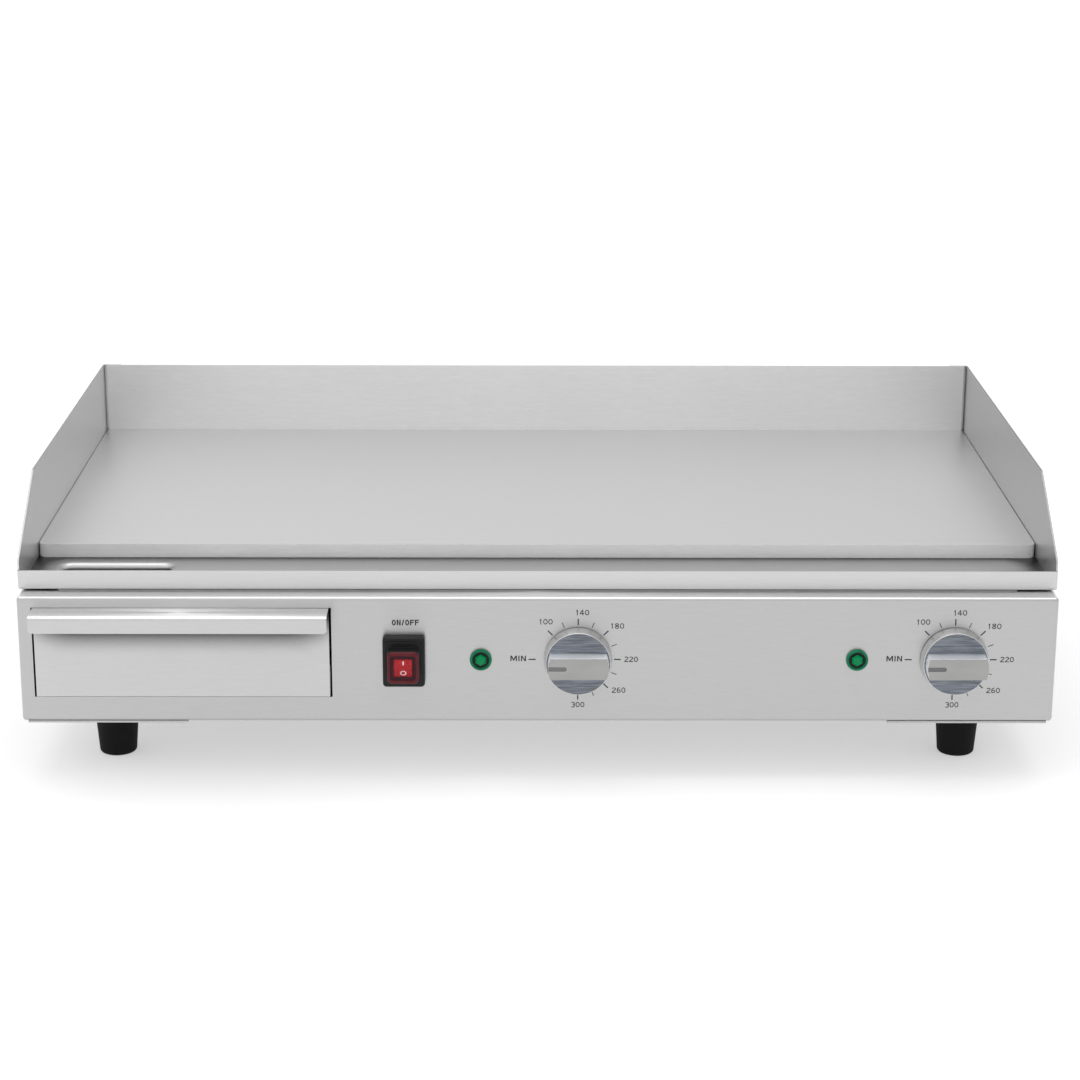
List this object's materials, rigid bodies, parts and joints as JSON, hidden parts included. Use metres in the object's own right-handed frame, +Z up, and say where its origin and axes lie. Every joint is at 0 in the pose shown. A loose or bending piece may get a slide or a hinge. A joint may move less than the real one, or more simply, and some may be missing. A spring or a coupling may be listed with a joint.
{
  "type": "countertop electric griddle",
  "caption": "Flat top electric griddle with splash guards, grease trough and drawer, dial thermostats, pilot lamps and rocker switch.",
  "frame": {"origin": "bottom centre of the overall box, on the bench under the feet", "axes": "+X to the right seen from the front, +Y from the fascia to the rear, +Z up"},
  "size_m": [0.732, 0.4736, 0.2052],
  "materials": {
    "stainless": "brushed, satin",
    "plate_steel": "ground, fine grain",
    "inner_steel": "dull rolled",
    "zinc": "zinc plated",
    "knob_metal": "spun and satin",
    "lamp_plastic": "plain",
    "bracket_metal": "plain",
    "element": "heat darkened",
    "ceramic": "matt",
    "board": "fibrous",
    "copper": "copper",
    "brass": "plain",
    "rubber": "matt",
    "seal": "matt",
    "black_plastic": "fine texture",
    "pale_plastic": "satin",
    "red_plastic": "gloss, lit from behind",
    "boot": "clear, soft",
    "green_lens": "clear green, faceted",
    "wire": "silicone sleeve"
  },
  "bodies": {
    "casing": {"front_fascia": "stainless", "side_panel_left": "stainless", "side_panel_right": "stainless", "rear_panel": "stainless", "bottom_cover": "inner_steel", "base_rail_left": "inner_steel", "base_rail_right": "inner_steel", "foot_front_left": "rubber", "foot_front_right": "rubber", "foot_rear_left": "rubber", "foot_rear_right": "rubber", "foot_screws": "zinc", "foot_nuts": "zinc", "base_screws": "zinc", "pan_seal": "seal", "top_pan": "stainless", "splash_guard_left": "stainless", "splash_guard_right": "stainless", "splash_guard_rear": "stainless", "griddle_plate": "plate_steel", "plate_studs": "zinc", "pan_studs": "zinc", "pan_nuts": "zinc", "heating_element_left": "element", "heating_element_right": "element", "element_beads": "ceramic", "clamp_bars": "inner_steel", "clamp_nuts": "zinc", "insulation_board": "board", "heat_shield": "inner_steel", "shield_nuts": "zinc", "sensor_left": "copper", "sensor_right": "copper", "bulb_saddles": "bracket_metal", "thermostat_left": "pale_plastic", "thermostat_right": "pale_plastic", "thermostat_brackets": "bracket_metal", "thermostat_screws": "zinc", "lamp_body_left": "lamp_plastic", "lamp_body_right": "lamp_plastic", "lamp_lens_left": "green_lens", "lamp_lens_right": "green_lens", "lamp_nuts": "black_plastic", "switch_frame": "black_plastic", "switch_housing": "black_plastic", "switch_boot": "boot", "drawer_guide": "inner_steel", "terminal_block": "pale_plastic", "wires": "wire", "bonding_stud": "brass", "cable_gland": "black_plastic", "gland_locknut": "black_plastic", "gland_cap": "black_plastic"},
    "drawer": {"drawer_box": "stainless", "drawer_front": "stainless"},
    "left_dial": {"knob_left": "knob_metal", "shaft_left": "zinc"},
    "right_dial": {"knob_right": "knob_metal", "shaft_right": "zinc"},
    "rocker": {"switch_rocker": "red_plastic"}
  },
  "joints": [
    {"name": "drawer_slide", "type": "slide", "parent": "casing", "child": "drawer", "axis": [0, -1, 0], "range_m": [0, 0.135]},
    {"name": "left_dial_turn", "type": "hinge", "parent": "casing", "child": "left_dial", "pos_m": [0.028, -0.22325, 0.0915], "axis": [0, 1, 0], "range_deg": [0, 270]},
    {"name": "right_dial_turn", "type": "hinge", "parent": "casing", "child": "right_dial", "pos_m": [0.293, -0.22325, 0.0915], "axis": [0, 1, 0], "range_deg": [0, 270]},
    {"name": "rocker_press", "type": "hinge", "parent": "casing", "child": "rocker", "pos_m": [-0.0944, -0.22225, 0.0915], "axis": [-1, 0, 0], "range_deg": [0, 14]}
  ]
}
